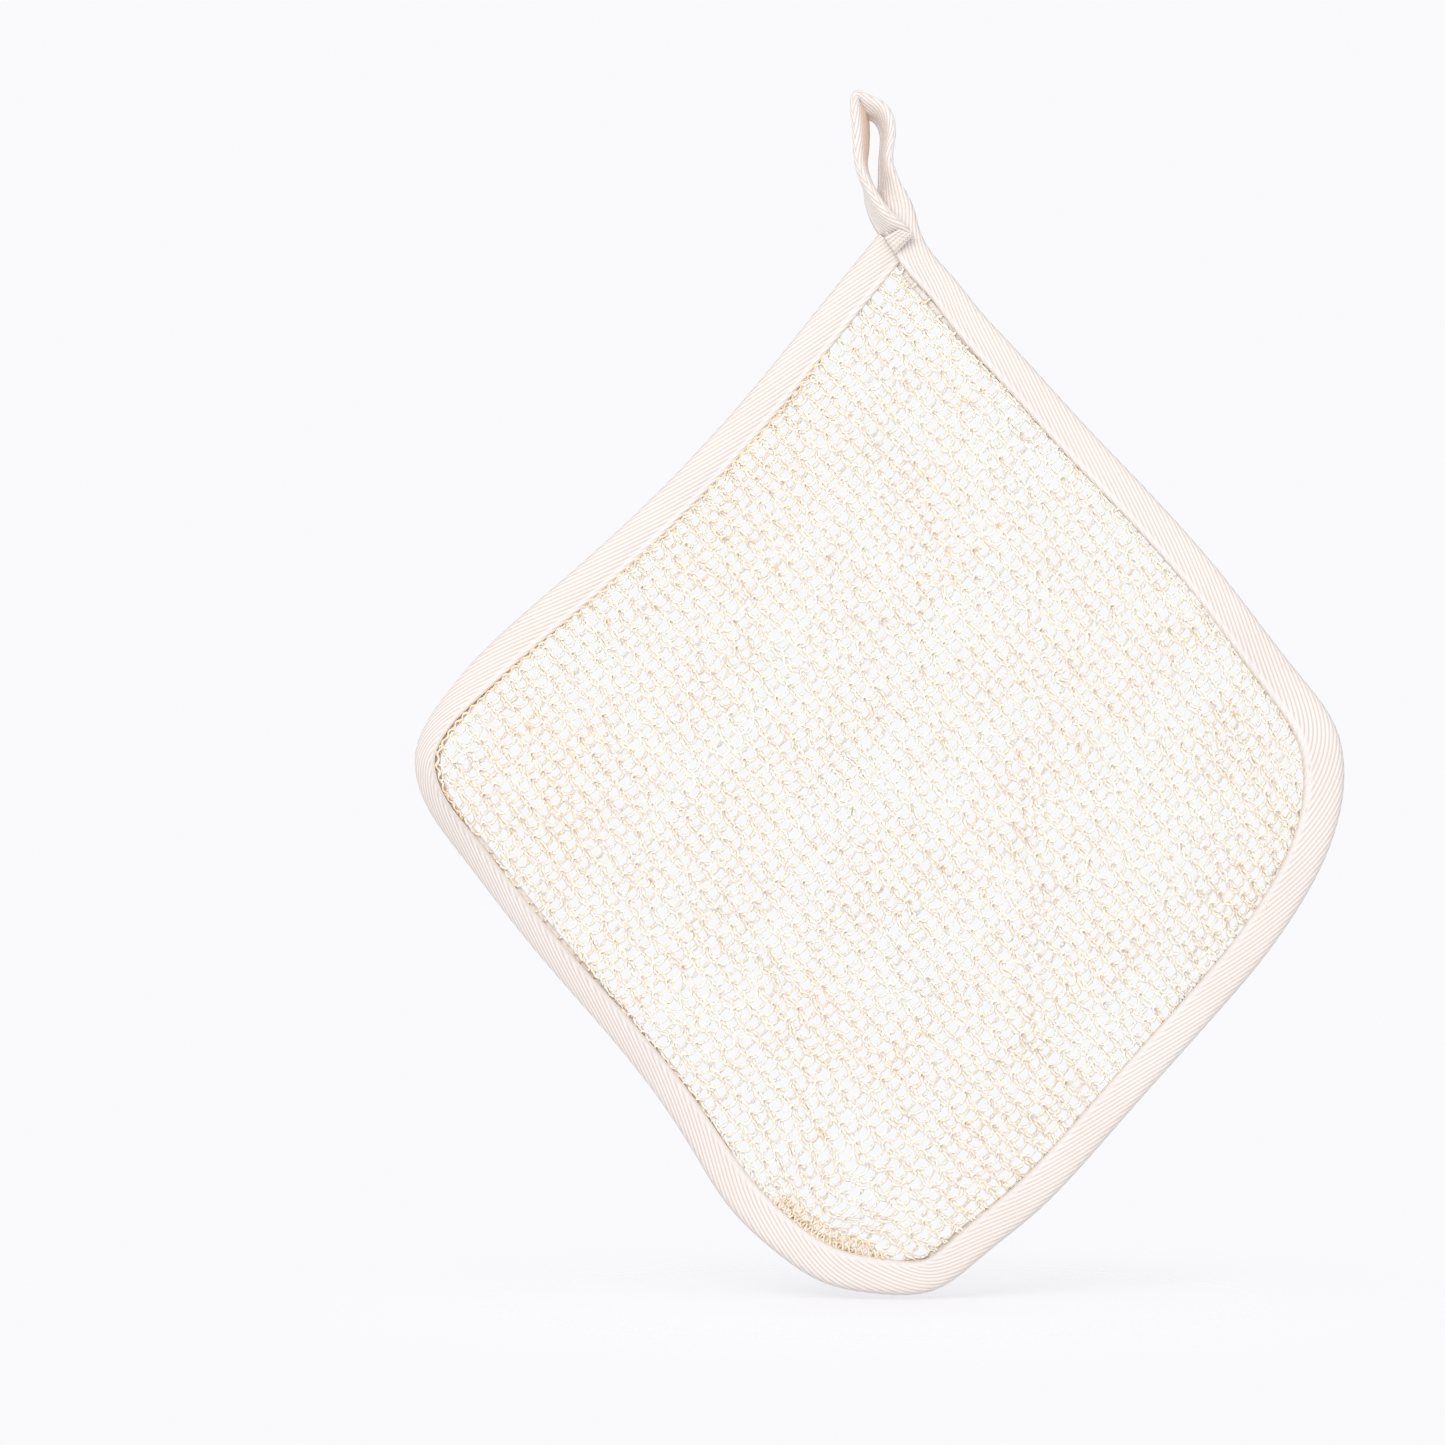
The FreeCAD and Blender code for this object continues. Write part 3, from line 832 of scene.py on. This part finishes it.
def end_tab(material):
    """A padded patch of tape between its four corners: a front and a back sheet, joined at their edges."""
    count = TAB_POINTS
    s, t = np.meshgrid(np.linspace(0, 1, count), np.linspace(0, 1, count), indexing="ij")
    front = tab_surface(s, t)
    back = front + (TAB_THICK + TAPE_THICK) * Y
    order = grid_outline(count)
    points = np.concatenate([front.reshape(-1, 3), back.reshape(-1, 3)])
    i, k = np.meshgrid(np.arange(count - 1), np.arange(count - 1), indexing="ij")
    first = i * count + k
    sheet = np.stack([first, first + 1, first + count + 1, first + count], axis=-1).reshape(-1, 4)
    back_sheet = sheet[:, ::-1] + count * count
    after = np.roll(order, -1)
    wall = np.stack([after, order, order + count * count, after + count * count], axis=-1)
    faces = np.concatenate([sheet, back_sheet, wall])
    span = np.stack([s.ravel(), t.ravel()], axis=1)
    span = np.concatenate([span, span])[faces]
    layout = span * 0.48
    layout[len(sheet):2 * len(sheet)] += 0.5
    share = np.stack([np.arange(len(order)) / len(order)] * 4, axis=1) * 0.9
    layout[2 * len(sheet):] = np.stack([share, np.full(share.shape, 0.49)], axis=-1)
    tape_places = span * np.array([0.0, 6.0]) + np.array([0.0, 2.0])
    return new_piece("tape_end_tab", points, faces, {"Tape": tape_places, "OFBake": layout}, material)


def bar_tack(material):
    """Close stitches over the lower right edge of the tab."""
    tubes = Tubes(THREAD_SIDES)
    t = np.linspace(TACK_FROM, TACK_TO, STITCH_POINTS)
    for s in np.linspace(0.06, 0.94, TACK_STITCHES):
        path = tab_surface(np.full(STITCH_POINTS, s), t) - TACK_PROUD * Y
        path[-2:, 1] += TACK_DIVE
        tubes.add(path, np.full(STITCH_POINTS, THREAD_RADIUS))
    return tubes.piece("bar_tack", material)


def edge_yarn(tape, name, material):
    """The yarn that shows beside the selvage of the tape."""
    tubes = Tubes(YARN_SIDES, 1 / TWIST_PITCH, PLY_BULGE)
    x, _, z = tape.ridge[:tape.binding_count].T
    for x_below, z_from, z_to, inset, wander, pitch in EDGE_YARNS:
        rows = np.flatnonzero((z < z_from) & (z > z_to) & (x < x_below))
        line = tape.selvage[rows]
        inward = tape.inward[rows]
        fine = np.linspace(0, len(rows) - 1, len(rows) * 3)
        line = np.stack([np.interp(fine, np.arange(len(rows)), c) for c in line.T], axis=1)
        inward = np.stack([np.interp(fine, np.arange(len(rows)), c) for c in inward.T], axis=1)
        s = arc_length(line)
        swing = np.sin(2 * math.pi * (s / pitch + 0.15 * np.sin(s / 7)))
        path = line + inward * (inset + wander * swing)[:, None]
        path[:, 1] = (drape(path[:, 0], path[:, 2]) + tape.curl(path[:, 0], path[:, 2])
                      - EDGE_YARN_FRONT + EDGE_YARN_WAVE * np.sin(2 * math.pi * s / pitch + 1.0))
        tubes.add(path, np.full(len(path), YARN_RADIUS * EDGE_YARN_RADIUS))
    return tubes.piece(name, material)


def grid_outline(count):
    """Numbers of the points round the edge of a square grid, in order."""
    last = count - 1
    sides = [np.arange(last), np.arange(last) * count + last, count * last + last - np.arange(last),
             (last - np.arange(last)) * count]
    return np.concatenate(sides)


def runs_of(kept):
    """(first, past last) of each unbroken run of kept samples."""
    change = np.flatnonzero(np.diff(np.concatenate([[0], kept.astype(int), [0]])))
    return list(zip(change[::2], change[1::2]))


# ---------------------------------------------------------------- scene

def look_from_front():
    x, z = VIEW_CENTRE
    camera = bpy.data.objects.new("camera", bpy.data.cameras.new("camera"))
    camera.data.sensor_width = SENSOR
    camera.data.lens = SENSOR * VIEW_DISTANCE / VIEW_WIDTH
    camera.data.clip_end = 50
    camera.location = (x * MM, -VIEW_DISTANCE * MM, z * MM)
    camera.rotation_euler = (math.pi / 2, 0, 0)
    bpy.context.scene.collection.objects.link(camera)
    bpy.context.scene.camera = camera


def area_light(name, place, size, power, colour):
    light = bpy.data.objects.new(name, bpy.data.lights.new(name, "AREA"))
    light.data.shape = "DISK"
    light.data.size = size
    light.data.energy = power
    light.data.color = colour
    light.location = place
    towards = np.array(LIGHT_TARGET) - np.array(place)
    yaw = math.atan2(towards[1], towards[0]) - math.pi / 2
    pitch = math.atan2(math.hypot(towards[0], towards[1]), -towards[2])
    light.rotation_euler = (pitch, 0, yaw)
    bpy.context.scene.collection.objects.link(light)


def studio():
    """Bright even room, a soft key from the upper left front, a weak fill from the right, and a pale floor
    under the lowest corner, which fades into the room."""
    world = bpy.data.worlds.new("world")
    world.use_nodes = True
    background = world.node_tree.nodes["Background"]
    background.inputs["Color"].default_value = ROOM
    background.inputs["Strength"].default_value = 1.0
    bpy.context.scene.world = world
    bpy.context.scene.view_settings.view_transform = "Standard"
    for name, place, size, power, colour in LIGHTS:
        area_light(name, place, size, power, colour)

    mesh = bpy.data.meshes.new("floor")
    z = CAD_BOX[0][2] - FLOOR_GAP
    corners = [(x * FLOOR_REACH, y * FLOOR_REACH, z) for x, y in ((-1, -1), (1, -1), (1, 1), (-1, 1))]
    mesh.from_pydata(corners, [], [(0, 1, 2, 3)])
    material, tree, shader = material_nodes("floor", 0.9, 0.0)
    shader.inputs["Base Color"].default_value = FLOOR
    place = add_node(tree, "ShaderNodeTexCoord").outputs["Object"]
    across = add_node(tree, "ShaderNodeSeparateXYZ", {0: place})
    level = vector(tree, across.outputs[0], across.outputs[1])
    far = add_node(tree, "ShaderNodeVectorMath", {0: level}, operation="LENGTH").outputs["Value"]
    clear = add_node(tree, "ShaderNodeBsdfTransparent").outputs[0]
    faded = maths(tree, "ADD", maths(tree, "MULTIPLY", ramp(tree, far, *FLOOR_FADE), 0.5), 0.5)
    mixed = add_node(tree, "ShaderNodeMixShader", {0: faded, 1: shader.outputs[0], 2: clear})
    out = next(n for n in tree.nodes if n.type == "OUTPUT_MATERIAL")
    tree.links.new(mixed.outputs[0], out.inputs["Surface"])
    mesh.materials.append(material)
    floor = bpy.data.objects.new("floor", mesh)
    bpy.context.scene.collection.objects.link(floor)


def bend_at_fold(piece):
    """Bakes the piece's transform into its mesh."""
    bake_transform(piece)


def bend_at_loop(piece):
    """Bakes the piece's transform into its mesh."""
    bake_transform(piece)


look_from_front()
SISAL = sisal_material("sisal", 0.0)
OCHRE_SISAL = sisal_material("sisal_ochre", OCHRE_AGE)
TAPE = tape_material("cotton_tape")
THREAD = thread_material()

tape = Tape()
# The loop's tape gets painted shade on the inner face of its left strand, from the top of the loop down.
peak = int(np.argmax(tape.ridge[:, 2]))
low = peak + int(np.argmax(tape.ridge[peak:, 2] < INNER_SHADE_DOWN_TO))
LOOP_TAPE = tape_material("cotton_tape_loop", (tape.along[peak], tape.along[low]))
binding_piece = tape.piece("binding_tape", TAPE, 0, tape.binding_count + 1, 5)
loop_piece = tape.piece("hanging_loop_tape", LOOP_TAPE, tape.binding_count, len(tape.ridge), 2)
tab_piece = end_tab(TAPE)

sewn_part = slice(0, tape.binding_count)
covered = TAPE_HALF - KNIT_COVERED - np.abs(tape.wider)
cut_line = (tape.ridge + tape.width_axis * covered[:, None])[sewn_part]
corner = np.array([KNIT_CORNER])
knit_outline = np.concatenate([cut_line, corner])[:, [0, 2]]
knit_pieces, yarn_paths = knit_bands(tape, knit_outline, SISAL)
fibre_pieces = [stray_fibres(yarn_paths, f"sisal_fibres_{i + 1}", SISAL) for i in range(FIBRE_PIECES)]
edge_piece = edge_yarn(tape, "sisal_edge_yarn", OCHRE_SISAL)

seams = []
for name, side in (("needle_thread", 1), ("bobbin_thread", -1)):
    tubes = Tubes(THREAD_SIDES)
    sew(tubes, seam_line(tape, side, 0, tape.binding_count))
    seams.append(tubes.piece(name, THREAD))
needle_piece, bobbin_piece = seams

past_binding = np.arange(len(tape.ridge)) > tape.binding_count
free = np.flatnonzero(past_binding & (tape.ridge[:, 2] > LOOP_SEWN_DOWN_TO))
tubes = Tubes(THREAD_SIDES)
for side in (1, -1):
    sew(tubes, seam_line(tape, side, free[0], free[-1]))
loop_thread_piece = tubes.piece("loop_edge_stitches", THREAD)
tack_piece = bar_tack(THREAD)

for piece in knit_pieces + fibre_pieces + [edge_piece, binding_piece, needle_piece, bobbin_piece]:
    bend_at_fold(piece)
for piece in (loop_piece, loop_thread_piece, tab_piece, tack_piece):
    bend_at_loop(piece)

for piece in knit_pieces:
    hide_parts("panel_upper", "panel_lower")
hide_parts("binding_upper", "binding_lower")
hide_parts("hanging_loop")
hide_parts("loop_edge_thread")
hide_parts("bar_tack_thread")
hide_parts("needle_thread_upper", "needle_thread_lower")
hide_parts("bobbin_thread_upper", "bobbin_thread_lower")

studio()
